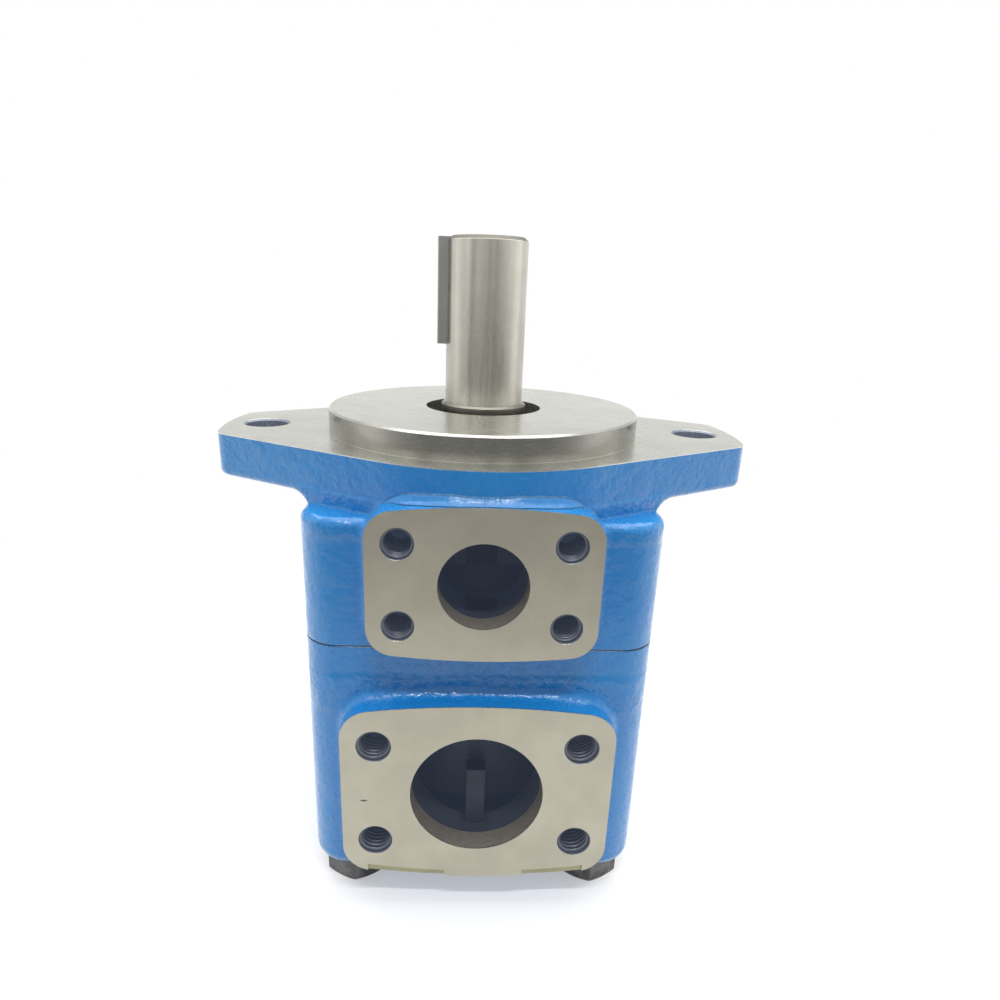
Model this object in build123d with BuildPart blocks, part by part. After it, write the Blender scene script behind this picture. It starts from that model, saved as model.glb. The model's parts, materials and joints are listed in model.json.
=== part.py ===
from build123d import *
import math
import os

# Single vane pump, flange mounted, with a keyed drive shaft.
# Millimetres. The origin is the centre of the mounting face on the shaft axis, +Z runs towards the
# shaft's free end, and both port pads face -Y. Everything under the mounting face has a negative Z.

# ---------------------------------------------------------------- fits
snug = 0.02  # radial gap of a fit that doesn't turn
running = 0.05  # radial gap of a fit that turns or slides
seal_gap = 0.3  # gap round a soft seal that is squeezed in service

# ---------------------------------------------------------------- castings
pilot_diameter = 127.0
pilot_height = 9.5
pilot_chamfer = 0.8
flange_length = 212.7
flange_front_radius = 73.4
flank_angle = 31.0
flange_corner_radius = 8.0
flange_thickness = 17.0
flange_lip_radius = 2.5
flange_hole_spacing = 181.0
flange_hole_diameter = 17.5
flange_hole_chamfer = 0.8
neck_height = 3.0
neck_root_radius = 7.0
neck_step = 1.6
body_corner_radius = 14.0
shoulder_radius = 3.5
housing_length = 69.0
cover_edge_radius = 6.0
parting_chamfer = 0.35

# ---------------------------------------------------------------- ports: pad, bore and bolts
outlet_depth = 40.0
outlet_pad_width = 81.0
outlet_pad_height = 56.6
outlet_pad_side_height = 51.0
outlet_pad_corner = 10.0
outlet_pad_stand = 10.8
outlet_bore_diameter = 31.75
outlet_bolt_spacing_x = 58.7
outlet_bolt_spacing_z = 30.2
outlet_thread_diameter = 11.1
outlet_tap_depth = 22.0
inlet_depth = 127.2
inlet_pad_width = 103.0
inlet_pad_height = 78.0
inlet_pad_side_height = 70.0
inlet_pad_corner = 12.0
inlet_pad_stand = 9.1
inlet_pad_margin = 5.3
inlet_ledge_width = 2.6
inlet_ledge_depth = 0.8
inlet_ledge_spans = [(-42.0, -12.0), (19.0, 43.0)]
inlet_bore_diameter = 50.8
inlet_bolt_spacing_x = 77.8
inlet_bolt_spacing_z = 42.9
inlet_thread_diameter = 12.7
inlet_tap_depth = 18.0
port_lip_depth = 9.0
passage_relief = 0.6
pad_root_radius = 4.0
thread_chamfer = 0.3
outlet_web = 7.0
inlet_rib_width = 7.5
inlet_rib_depth = 7.0
inlet_rib_setback = 15.0

# ---------------------------------------------------------------- shaft and key
shaft_length = 75.0
shaft_diameter = 31.75
shaft_chamfer = 1.5
journal_diameter = 35.0
journal_top = 11.5
journal_chamfer = 0.8
thrust_collar_diameter = 41.0
thrust_collar_length = 4.0
spline_teeth = 12
spline_major_diameter = 34.0
spline_minor_diameter = 30.0
spline_tooth_width = 4.6
tail_diameter = 25.0
tail_end_gap = 2.0
key_width = 7.94
key_length = 40.0
key_top = 19.4
key_end_gap = 0.4
key_chamfer = 0.4

# ---------------------------------------------------------------- seal and bearing
seal_recess = 9.0
seal_outer_diameter = 47.6
seal_width = 10.0
seal_sheet = 1.0
seal_web = 3.0
seal_web_bore = 41.0
garter_wire = 1.6
relief_bore_diameter = 60.0
relief_length = 3.0
bearing_outer_diameter = 72.0
bearing_width = 17.0
bearing_pitch_diameter = 53.5
bearing_ball_diameter = 11.1
bearing_ball_count = 9
bearing_land = 2.9
bearing_chamfer = 1.0
cage_thickness = 2.6
cage_width = 13.6
shaft_ring_thickness = 1.5
shaft_ring_depth = 1.0
shaft_ring_stand = 2.8
retainer_thickness = 2.5
retainer_depth = 1.5
retainer_stand = 4.0
ring_lug_size = 3.0

# ---------------------------------------------------------------- cartridge
cartridge_diameter = 100.0
plate_bore_diameter = 108.0
plate_entry = 11.0
outlet_plate_thickness = 26.0
hub_diameter = 76.0
hub_height = 20.5
hub_clearance = 1.0
plate_shaft_bore = 43.0
chamber_diameter = 100.0
chamber_height = 14.0
side_plate_thickness = 3.2
ring_width = 38.0
inlet_plate_thickness = 20.0
bushing_outer_diameter = 31.0
cam_major_radius = 42.0
cam_minor_radius = 37.6
major_dwell_angle = 30.0
minor_dwell_angle = 30.0
rotor_radius = 37.3
rotor_end_gap = 0.03
vane_count = 10
vane_phase = 9.0
vane_thickness = 2.4
vane_height = 13.6
vane_tip_drop = 0.6
vane_tip_radius = 0.8
vane_slot_well_diameter = 4.0
insert_length = 18.0
insert_height = 5.0
kidney_radius = 38.5
kidney_width = 5.0
kidney_span = 38.0
pressure_angle = 45.0
suction_angle = 135.0
suction_notch_radius = 6.5
suction_notch_place = 44.0
well_port_width = 3.0
well_port_span = 30.0
side_plate_bore = 38.0
pocket_radius = 39.0
pocket_width = 12.0
pocket_depth = 14.0
riser_radius = 42.5
riser_width = 6.0
riser_overlap = 2.0
dowel_diameter = 5.0
dowel_circle_radius = 45.0
dowel_angle = 90.0
dowel_engagement = 8.0
screw_diameter = 5.0
screw_head_diameter = 8.5
screw_head_height = 5.0
screw_socket_size = 4.0
screw_circle_radius = 44.5
screw_angle = 118.0
screw_engagement = 12.0

# ---------------------------------------------------------------- cover bolts and stationary seals
cover_bolt_diameter = 16.0
cover_bolt_inset = 16.6
cover_bolt_hole_gap = 0.5
cover_bolt_engagement = 26.0
cover_bolt_head_height = 10.0
cover_bolt_head_flats = 24.0
cover_bolt_head_chamfer = 1.2
tap_runout = 3.0
cavity_gap = 1.0
body_wall = 11.1
floor_thickness = 11.5
pedestal_diameter = 64.0
o_ring_groove_depth = 2.1
o_ring_groove_width = 3.5
o_ring_corner = 0.8
cover_seal_wall = 1.6
plate_seal_depth = 3.2
plate_seal_width = 4.0
plate_seal_offset = 4.0
hub_seal_depth = 2.8
hub_seal_width = 3.6

# ---------------------------------------------------------------- levels and places that follow
cavity_diameter = plate_bore_diameter + 2 * cavity_gap
body_width = cavity_diameter + 2 * body_wall
body_half = body_width / 2
neck_half_width = body_half - neck_step
cover_bolt_offset = body_half - cover_bolt_inset
cover_length = inlet_depth + inlet_pad_height / 2 + inlet_pad_margin - housing_length
shoulder_z = -(flange_thickness + neck_height)
parting_z = -housing_length
cover_rear_z = parting_z - cover_length
cavity_floor_z = cover_rear_z + floor_thickness
outlet_face = body_half + outlet_pad_stand
inlet_face = body_half + inlet_pad_stand

shaft_radius = shaft_diameter / 2
journal_radius = journal_diameter / 2
tail_radius = tail_diameter / 2
seal_top_z = pilot_height - seal_recess
seal_bottom_z = seal_top_z - seal_width
web_bottom_z = seal_bottom_z - seal_web
bearing_top_z = web_bottom_z - relief_length
bearing_bottom_z = bearing_top_z - bearing_width
retainer_bottom_z = bearing_bottom_z - retainer_thickness
collar_bottom_z = bearing_bottom_z - thrust_collar_length

plate_top_z = parting_z + plate_entry
plate_bottom_z = plate_top_z - outlet_plate_thickness
chamber_top_z = plate_top_z + chamber_height
hub_top_z = plate_top_z + hub_height
hub_bore_top_z = hub_top_z + hub_clearance
ring_top_z = plate_bottom_z - side_plate_thickness
ring_bottom_z = ring_top_z - ring_width
inlet_plate_top_z = ring_bottom_z - side_plate_thickness
inlet_plate_bottom_z = inlet_plate_top_z - inlet_plate_thickness
ring_middle_z = (ring_top_z + ring_bottom_z) / 2
rotor_width = ring_width - 2 * rotor_end_gap
tail_end_z = inlet_plate_bottom_z + tail_end_gap

vane_tip_rest = rotor_radius - vane_tip_drop
vane_foot = vane_tip_rest - vane_height
slot_floor = vane_foot - seal_gap
cover_bolt_radius = cover_bolt_diameter / 2
cover_bolt_tip_z = parting_z + cover_bolt_engagement
bolt_places = [
    (x * cover_bolt_offset, y * cover_bolt_offset) for x in (-1, 1) for y in (-1, 1)
]


def polar(radius, degrees):
    """The point at a radius and an angle from +X."""
    return (
        radius * math.cos(math.radians(degrees)),
        radius * math.sin(math.radians(degrees)),
    )


def flange_outline(inset=0.0):
    """The two-bolt flange: round front and back, straight flanks, and ends that are arcs about the axis."""
    radius = flange_front_radius - inset
    end_radius = flange_length / 2 - inset
    touch_x, touch_y = polar(radius, 90 - flank_angle)
    tip = radius / math.sin(math.radians(flank_angle))
    with BuildSketch() as outline:
        Circle(radius)
        with BuildLine():
            Polyline(
                (tip, 0),
                (touch_x, touch_y),
                (-touch_x, touch_y),
                (-tip, 0),
                (-touch_x, -touch_y),
                (touch_x, -touch_y),
                close=True,
            )
        make_face()
        Circle(end_radius, mode=Mode.INTERSECT)
        corners = outline.vertices().group_by(lambda v: round(abs(v.X), 2))[-1]
        fillet(corners, flange_corner_radius)
    return outline.sketch


def pad_outline(width, height, side_height, corner):
    """A port pad: straight sides, and a top and bottom that bulge a little."""
    x = width / 2
    z = side_height / 2
    with BuildSketch() as outline:
        with BuildLine():
            ThreePointArc((-x, z), (0, height / 2), (x, z))
            Line((x, z), (x, -z))
            ThreePointArc((x, -z), (0, -height / 2), (-x, -z))
            Line((-x, -z), (-x, z))
        make_face()
        fillet(outline.vertices(), corner)
    return outline.sketch


def port_plane(face, depth):
    """The plane of a port pad: it looks out along -Y, with its own Y along +Z."""
    return Plane(origin=(0, -face, -depth), x_dir=(1, 0, 0), z_dir=(0, -1, 0))


def cam_contour():
    """The ring's inner track: two major and two minor dwells on the axis, joined by smooth ramps."""
    half_major = major_dwell_angle / 2
    half_minor = minor_dwell_angle / 2
    with BuildSketch() as contour:
        with BuildLine():
            for quarter in range(4):
                mirrored = quarter % 2 == 1
                start = 90 * quarter
                near, far = (half_minor, half_major) if mirrored else (half_major, half_minor)
                first = cam_minor_radius if mirrored else cam_major_radius
                last = cam_major_radius if mirrored else cam_minor_radius
                CenterArc((0, 0), first, start, near)
                Spline(
                    polar(first, start + near),
                    polar(last, start + 90 - far),
                    tangents=(polar(1, start + near + 90), polar(1, start + 180 - far)),
                )
                CenterArc((0, 0), last, start + 90 - far, far)
        make_face()
    return contour.sketch


def washer(outer_radius, inner_radius, corner, bottom_z, height):
    """A ring of rectangular section with bevelled corners, such as a squeezed O-ring."""
    with BuildPart() as ring:
        with BuildSketch(Plane.XZ) as section:
            with Locations(((outer_radius + inner_radius) / 2, bottom_z + height / 2)):
                Rectangle(outer_radius - inner_radius, height)
            chamfer(section.vertices(), corner)
        revolve(axis=Axis.Z)
    return ring.part


def split_ring(outer_radius, inner_radius, lug_radius, gap_angle, bottom_z, thickness):
    """A flat snap ring, open at +Y, with a drilled lug each side of its gap."""
    lug_angle = gap_angle / 2 + math.degrees(ring_lug_size / lug_radius) / 2
    with BuildPart() as ring:
        with BuildSketch(Plane.XY.offset(bottom_z)):
            Circle(outer_radius)
            Circle(inner_radius, mode=Mode.SUBTRACT)
            for side in (-1, 1):
                with Locations(polar(lug_radius, 90 + side * lug_angle)):
                    Circle(ring_lug_size * 0.8)
            with BuildLine(mode=Mode.PRIVATE) as gap:
                Polyline(
                    (0, 0),
                    polar(2 * outer_radius, 90 - gap_angle / 2),
                    polar(2 * outer_radius, 90 + gap_angle / 2),
                    close=True,
                )
            make_face(gap.edges(), mode=Mode.SUBTRACT)
            for side in (-1, 1):
                with Locations(polar(lug_radius, 90 + side * lug_angle)):
                    Circle(ring_lug_size * 0.35, mode=Mode.SUBTRACT)
        extrude(amount=thickness)
    return ring.part


def write(piece, name):
    """Names a finished piece and writes it."""
    piece.part.label = name
    export_step(piece.part, f"parts/{name}.step")


os.makedirs("parts", exist_ok=True)


# ================================================================ housing
root_bottom_z = -(flange_thickness + neck_root_radius)
with BuildPart() as flange:
    with BuildSketch(Plane.XY.offset(root_bottom_z)):
        add(flange_outline())
    extrude(amount=-root_bottom_z)

    # the room under the flange, with a cast root all round where it joins the square neck
    for side in (Plane.XZ, Plane.YZ):
        with BuildSketch(side):
            with BuildLine():
                CenterArc(
                    (neck_half_width + neck_root_radius, root_bottom_z),
                    neck_root_radius,
                    90,
                    90,
                )
                Polyline(
                    (neck_half_width + neck_root_radius, -flange_thickness),
                    (flange_length, -flange_thickness),
                    (flange_length, root_bottom_z),
                    (neck_half_width, root_bottom_z),
                )
            make_face()
            mirror(about=Plane.YZ)
        extrude(amount=flange_length, both=True, mode=Mode.SUBTRACT)
    lip = flange.edges().filter_by(
        lambda e: root_bottom_z + snug < e.center().Z < -flange_thickness + snug
        and math.hypot(e.center().X, e.center().Y) > neck_half_width + neck_root_radius + snug
    )
    fillet(lip, flange_lip_radius)

with BuildPart() as housing:
    with BuildSketch(Plane.XY.offset(parting_z)):
        RectangleRounded(body_width, body_width, body_corner_radius)
    extrude(amount=shoulder_z - parting_z)
    fillet(housing.faces().sort_by(Axis.Z)[-1].edges(), shoulder_radius)
    chamfer(housing.faces().sort_by(Axis.Z)[0].edges(), parting_chamfer)
    add(flange.part)
    with BuildSketch(port_plane(outlet_face, outlet_depth)):
        add(
            pad_outline(
                outlet_pad_width,
                outlet_pad_height,
                outlet_pad_side_height,
                outlet_pad_corner,
            )
        )
    extrude(amount=-(outlet_pad_stand + shoulder_radius + pad_root_radius))

    # cast roots where the pad stands on the wall, and on the shoulder above it
    pad_half = outlet_pad_width / 2
    wall_roots = housing.edges().filter_by(
        lambda e: abs(e.center().Y + body_half) < 0.1
        and abs(e.center().X) < pad_half + 0.1
        and parting_z + 2 < e.center().Z < shoulder_z - shoulder_radius + 0.5
    )
    shoulder_roots = housing.edges().filter_by(
        lambda e: pad_half - 1 < abs(e.center().X) < pad_half + 0.1
        and -body_half + 0.1 < e.center().Y < -body_half + 2 * shoulder_radius
        and abs(e.center().Z - shoulder_z) < shoulder_radius / 2
    )
    fillet(wall_roots + shoulder_roots, pad_root_radius)
    with BuildSketch(Plane.XY):
        Circle(pilot_diameter / 2)
    extrude(amount=pilot_height)
    chamfer(housing.faces().sort_by(Axis.Z)[-1].edges(), pilot_chamfer)

    # bores on the shaft axis, from the seal's seat down to the parting face
    with BuildSketch(Plane.XZ):
        with BuildLine():
            Polyline(
                (0, pilot_height),
                (seal_outer_diameter / 2 + snug, pilot_height),
                (seal_outer_diameter / 2 + snug, seal_bottom_z),
                (seal_web_bore / 2, seal_bottom_z),
                (seal_web_bore / 2, web_bottom_z),
                (relief_bore_diameter / 2, web_bottom_z),
                (relief_bore_diameter / 2, bearing_top_z),
                (bearing_outer_diameter / 2 + snug, bearing_top_z),
                (bearing_outer_diameter / 2 + snug, bearing_bottom_z),
                (bearing_outer_diameter / 2 + retainer_depth, bearing_bottom_z),
                (bearing_outer_diameter / 2 + retainer_depth, retainer_bottom_z),
                (bearing_outer_diameter / 2 + snug, retainer_bottom_z),
                (bearing_outer_diameter / 2 + snug, hub_bore_top_z),
                (hub_diameter / 2, hub_bore_top_z),
                (hub_diameter / 2, chamber_top_z),
                (chamber_diameter / 2, chamber_top_z),
                (chamber_diameter / 2, plate_top_z),
                (plate_bore_diameter / 2, plate_top_z),
                (plate_bore_diameter / 2, parting_z),
                (0, parting_z),
                close=True,
            )
        make_face()
    revolve(axis=Axis.Z, mode=Mode.SUBTRACT)

    # outlet port: a machined lip, then the cast passage into the pressure chamber
    with BuildSketch(port_plane(outlet_face, outlet_depth)):
        Circle(outlet_bore_diameter / 2)
    extrude(amount=-port_lip_depth, mode=Mode.SUBTRACT)
    with BuildSketch(port_plane(outlet_face - port_lip_depth, outlet_depth)):
        Circle(outlet_bore_diameter / 2 + passage_relief)
    extrude(
        amount=-(outlet_face - port_lip_depth - hub_diameter / 2 - outlet_web),
        mode=Mode.SUBTRACT,
    )
    with Locations(port_plane(outlet_face, outlet_depth)):
        with GridLocations(outlet_bolt_spacing_x, outlet_bolt_spacing_z, 2, 2):
            CounterSinkHole(
                outlet_thread_diameter / 2,
                outlet_thread_diameter / 2 + thread_chamfer,
                outlet_tap_depth,
                90,
            )

    # flange holes, and the tapped holes for the cover bolts
    with Locations(Plane.XY):
        with GridLocations(flange_hole_spacing, 0, 2, 1):
            CounterSinkHole(
                flange_hole_diameter / 2,
                flange_hole_diameter / 2 + flange_hole_chamfer,
                flange_thickness,
                90,
            )
    with BuildSketch(Plane.XY.offset(parting_z)):
        with Locations(*bolt_places):
            Circle(cover_bolt_radius)
    extrude(amount=cover_bolt_engagement + tap_runout, mode=Mode.SUBTRACT)
write(housing, "housing")

# ================================================================ cover
with BuildPart() as cover:
    with BuildSketch(Plane.XY.offset(cover_rear_z)):
        RectangleRounded(body_width, body_width, body_corner_radius)
    extrude(amount=cover_length)
    fillet(cover.faces().sort_by(Axis.Z)[0].edges(), cover_edge_radius)
    chamfer(cover.faces().sort_by(Axis.Z)[-1].edges(), parting_chamfer)
    with BuildSketch(port_plane(inlet_face, inlet_depth)):
        add(
            pad_outline(
                inlet_pad_width,
                inlet_pad_height,
                inlet_pad_side_height,
                inlet_pad_corner,
            )
        )
    extrude(amount=-(inlet_pad_stand + pad_root_radius))
    pad_half = inlet_pad_width / 2
    wall_roots = cover.edges().filter_by(
        lambda e: abs(e.center().Y + body_half) < 0.1
        and abs(e.center().X) < pad_half + 0.1
        and parting_z - 2 > e.center().Z > cover_rear_z + cover_edge_radius + 1
    )
    fillet(wall_roots, pad_root_radius)

    # cavity round the cartridge, with the pedestal that carries it, and the O-ring groove
    with BuildSketch(Plane.XZ):
        with BuildLine():
            Polyline(
                (tail_radius + hub_clearance, cavity_floor_z),
                (tail_radius + hub_clearance, inlet_plate_bottom_z),
                (pedestal_diameter / 2, inlet_plate_bottom_z),
                (pedestal_diameter / 2, cavity_floor_z),
                (cavity_diameter / 2, cavity_floor_z),
                (cavity_diameter / 2, parting_z),
                (0, parting_z),
                (0, cavity_floor_z),
                close=True,
            )
        make_face()
    revolve(axis=Axis.Z, mode=Mode.SUBTRACT)
    groove_inner = cavity_diameter / 2 + cover_seal_wall
    with BuildSketch(Plane.XY.offset(parting_z)):
        Circle(groove_inner + o_ring_groove_width)
        Circle(groove_inner, mode=Mode.SUBTRACT)
    extrude(amount=-o_ring_groove_depth, mode=Mode.SUBTRACT)

    # shallow ledges milled along the lower edge of the inlet pad
    with BuildSketch(port_plane(inlet_face, inlet_depth)):
        for start, end in inlet_ledge_spans:
            with Locations(((start + end) / 2, -inlet_pad_height / 2)):
                Rectangle(end - start, inlet_pad_height / 2)
        add(
            pad_outline(
                inlet_pad_width - 2 * inlet_ledge_width,
                inlet_pad_height - 2 * inlet_ledge_width,
                inlet_pad_side_height - 2 * inlet_ledge_width,
                inlet_pad_corner - inlet_ledge_width,
            ),
            mode=Mode.SUBTRACT,
        )
    extrude(amount=-inlet_ledge_depth, mode=Mode.SUBTRACT)

    # inlet port: a machined lip, the cast passage, and the rib that stiffens it
    with BuildSketch(port_plane(inlet_face, inlet_depth)):
        Circle(inlet_bore_diameter / 2)
    extrude(amount=-port_lip_depth, mode=Mode.SUBTRACT)
    with BuildSketch(port_plane(inlet_face - port_lip_depth, inlet_depth)):
        Circle(inlet_bore_diameter / 2 + passage_relief)
    extrude(
        amount=-(inlet_face - port_lip_depth - pedestal_diameter / 2 - o_ring_groove_width),
        mode=Mode.SUBTRACT,
    )
    with BuildSketch(port_plane(inlet_face - inlet_rib_setback, inlet_depth)):
        with Locations((0, -inlet_bore_diameter / 4 - passage_relief)):
            Rectangle(inlet_rib_width, inlet_bore_diameter / 2 + 2 * passage_relief)
    extrude(amount=-inlet_rib_depth)
    with Locations(port_plane(inlet_face, inlet_depth)):
        with GridLocations(inlet_bolt_spacing_x, inlet_bolt_spacing_z, 2, 2):
            CounterSinkHole(
                inlet_thread_diameter / 2,
                inlet_thread_diameter / 2 + thread_chamfer,
                inlet_tap_depth,
                90,
            )
    with BuildSketch(Plane.XY.offset(cover_rear_z)):
        with Locations(*bolt_places):
            Circle(cover_bolt_radius + cover_bolt_hole_gap)
    extrude(amount=cover_length, mode=Mode.SUBTRACT)
write(cover, "cover")


# ================================================================ shaft and key
def spline_outline(major_radius, minor_radius, tooth_width):
    """Straight-sided teeth standing on a round core."""
    with BuildSketch() as teeth:
        Circle(minor_radius)
        with PolarLocations(0, spline_teeth):
            Rectangle(2 * major_radius, tooth_width, align=(Align.MIN, Align.CENTER))
        Circle(major_radius, mode=Mode.INTERSECT)
    return teeth.sketch


spline_major_radius = spline_major_diameter / 2
spline_minor_radius = spline_minor_diameter / 2
spline_top_z = ring_top_z + side_plate_thickness

with BuildPart() as drive_shaft:
    with BuildSketch(Plane.XZ):
        with BuildLine():
            Polyline(
                (0, shaft_length),
                (shaft_radius - shaft_chamfer, shaft_length),
                (shaft_radius, shaft_length - shaft_chamfer),
                (shaft_radius, journal_top),
                (journal_radius - journal_chamfer, journal_top),
                (journal_radius, journal_top - journal_chamfer),
                (journal_radius, bearing_top_z + shaft_ring_thickness),
                (journal_radius - shaft_ring_depth, bearing_top_z + shaft_ring_thickness),
                (journal_radius - shaft_ring_depth, bearing_top_z),
                (journal_radius, bearing_top_z),
                (journal_radius, bearing_bottom_z),
                (thrust_collar_diameter / 2, bearing_bottom_z),
                (thrust_collar_diameter / 2, collar_bottom_z),
                (spline_major_radius, collar_bottom_z - (thrust_collar_diameter / 2 - spline_major_radius)),
                (spline_major_radius, inlet_plate_top_z),
                (tail_radius, inlet_plate_top_z),
                (tail_radius, tail_end_z + shaft_chamfer),
                (tail_radius - shaft_chamfer, tail_end_z),
                (0, tail_end_z),
                close=True,
            )
        make_face()
    revolve(axis=Axis.Z)
    with BuildSketch(Plane.XY.offset(inlet_plate_top_z)):
        Circle(spline_major_radius)
        add(
            spline_outline(2 * spline_major_radius, spline_minor_radius, spline_tooth_width),
            mode=Mode.SUBTRACT,
        )
    extrude(amount=spline_top_z - inlet_plate_top_z, mode=Mode.SUBTRACT)
    with BuildSketch(Plane.YZ.offset(-shaft_radius)):
        with Locations((0, shaft_length)):
            Rectangle(
                key_width + 2 * snug,
                2 * (key_length + 2 * key_end_gap),
            )
    extrude(amount=key_width - (key_top - shaft_radius), mode=Mode.SUBTRACT)
write(drive_shaft, "drive_shaft")

with BuildPart() as drive_key:
    with BuildSketch(Plane.YZ.offset(-key_top)):
        with Locations((0, shaft_length - key_end_gap - key_length / 2)):
            Rectangle(key_width, key_length)
    extrude(amount=key_width)
    chamfer(drive_key.edges().filter_by(Axis.Z), key_chamfer)
write(drive_key, "drive_key")

# ================================================================ shaft seal
seal_radius = seal_outer_diameter / 2
lip_radius = journal_radius + running
lip_root_radius = (seal_radius + journal_radius) / 2
with BuildPart() as seal_case:
    with BuildSketch(Plane.XZ):
        with BuildLine():
            Polyline(
                (seal_radius, seal_bottom_z),
                (seal_radius, seal_top_z),
                (lip_root_radius, seal_top_z),
                (lip_root_radius, seal_top_z - seal_sheet),
                (seal_radius - seal_sheet, seal_top_z - seal_sheet),
                (seal_radius - seal_sheet, seal_bottom_z),
                close=True,
            )
        make_face()
    revolve(axis=Axis.Z)
write(seal_case, "seal_case")

garter_radius = lip_radius + 1.5 * garter_wire
garter_z = seal_bottom_z + 2.5 * garter_wire
with BuildPart() as seal_lip:
    with BuildSketch(Plane.XZ):
        with BuildLine():
            Polyline(
                (lip_root_radius, seal_top_z),
                (lip_root_radius, seal_top_z - seal_sheet),
                (lip_root_radius + garter_wire, seal_top_z - seal_sheet),
                (lip_root_radius + garter_wire, seal_top_z - 2 * seal_sheet),
                (garter_radius + seal_sheet, seal_top_z - 2.5 * seal_sheet),
                (garter_radius + seal_sheet / 2, garter_z + garter_wire / 2),
                (garter_radius, seal_bottom_z + garter_wire),
                (lip_radius + garter_wire / 2, seal_bottom_z + garter_wire / 2),
                (lip_radius, garter_z),
                (lip_radius + garter_wire, garter_z + 1.5 * garter_wire),
                (lip_radius, seal_top_z),
                close=True,
            )
        make_face()
        with Locations((garter_radius + seal_sheet / 2, garter_z)):
            Circle(garter_wire / 2 + snug, mode=Mode.SUBTRACT)
    revolve(axis=Axis.Z)
write(seal_lip, "seal_lip")

with BuildPart() as garter_spring:
    with BuildSketch(Plane.XZ):
        with Locations((garter_radius + seal_sheet / 2, garter_z)):
            Circle(garter_wire / 2)
    revolve(axis=Axis.Z)
write(garter_spring, "garter_spring")

# ================================================================ ball bearing
bearing_middle_z = (bearing_top_z + bearing_bottom_z) / 2
pitch_radius = bearing_pitch_diameter / 2
ball_radius = bearing_ball_diameter / 2


def bearing_ring(seat_radius, land_radius):
    """One ring of the ball bearing: its seat, its land and the groove that the balls run in."""
    inner, outer = sorted((seat_radius, land_radius))
    with BuildPart() as ring:
        with BuildSketch(Plane.XZ) as section:
            with Locations(((inner + outer) / 2, bearing_middle_z)):
                Rectangle(outer - inner, bearing_width)
            seat_corners = section.vertices().filter_by(
                lambda v: abs(v.X - seat_radius) < snug / 2
            )
            chamfer(seat_corners, bearing_chamfer)
            with Locations((pitch_radius, bearing_middle_z)):
                Circle(ball_radius + running, mode=Mode.SUBTRACT)
        revolve(axis=Axis.Z)
    return ring


bearing_outer_ring = bearing_ring(bearing_outer_diameter / 2, pitch_radius + bearing_land)
write(bearing_outer_ring, "bearing_outer_ring")
bearing_inner_ring = bearing_ring(journal_radius + snug, pitch_radius - bearing_land)
write(bearing_inner_ring, "bearing_inner_ring")

with BuildPart() as bearing_balls:
    with Locations((0, 0, bearing_middle_z)):
        with PolarLocations(pitch_radius, bearing_ball_count):
            Sphere(ball_radius)
write(bearing_balls, "bearing_balls")

with BuildPart() as bearing_cage:
    with BuildSketch(Plane.XY.offset(bearing_middle_z - cage_width / 2)):
        Circle(pitch_radius + cage_thickness / 2)
        Circle(pitch_radius - cage_thickness / 2, mode=Mode.SUBTRACT)
    extrude(amount=cage_width)
    with Locations((0, 0, bearing_middle_z)):
        with PolarLocations(pitch_radius, bearing_ball_count):
            Cylinder(
                ball_radius + running,
                3 * cage_thickness,
                rotation=(0, 90, 0),
                mode=Mode.SUBTRACT,
            )
write(bearing_cage, "bearing_cage")

with BuildPart() as shaft_snap_ring:
    add(
        split_ring(
            journal_radius + shaft_ring_stand,
            journal_radius - shaft_ring_depth + snug,
            journal_radius + shaft_ring_stand,
            24,
            bearing_top_z + snug,
            shaft_ring_thickness - 2 * snug,
        )
    )
write(shaft_snap_ring, "shaft_snap_ring")

with BuildPart() as bearing_retainer:
    add(
        split_ring(
            bearing_outer_diameter / 2 + retainer_depth - snug,
            bearing_outer_diameter / 2 - retainer_stand,
            bearing_outer_diameter / 2 - retainer_stand,
            20,
            retainer_bottom_z + snug,
            retainer_thickness - 2 * snug,
        )
    )
write(bearing_retainer, "bearing_retainer")

# ================================================================ cartridge
cartridge_radius = cartridge_diameter / 2
plate_radius = plate_bore_diameter / 2 - snug
hub_radius = hub_diameter / 2 - snug


def arc_slot(radius, width, middle_angle, span):
    """A kidney port: a slot bent along a circle about the axis."""
    with BuildLine() as middle:
        CenterArc((0, 0), radius, middle_angle - span / 2, span)
    with BuildSketch() as slot:
        SlotArc(middle.edges()[0], width)
    return slot.sketch


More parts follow.
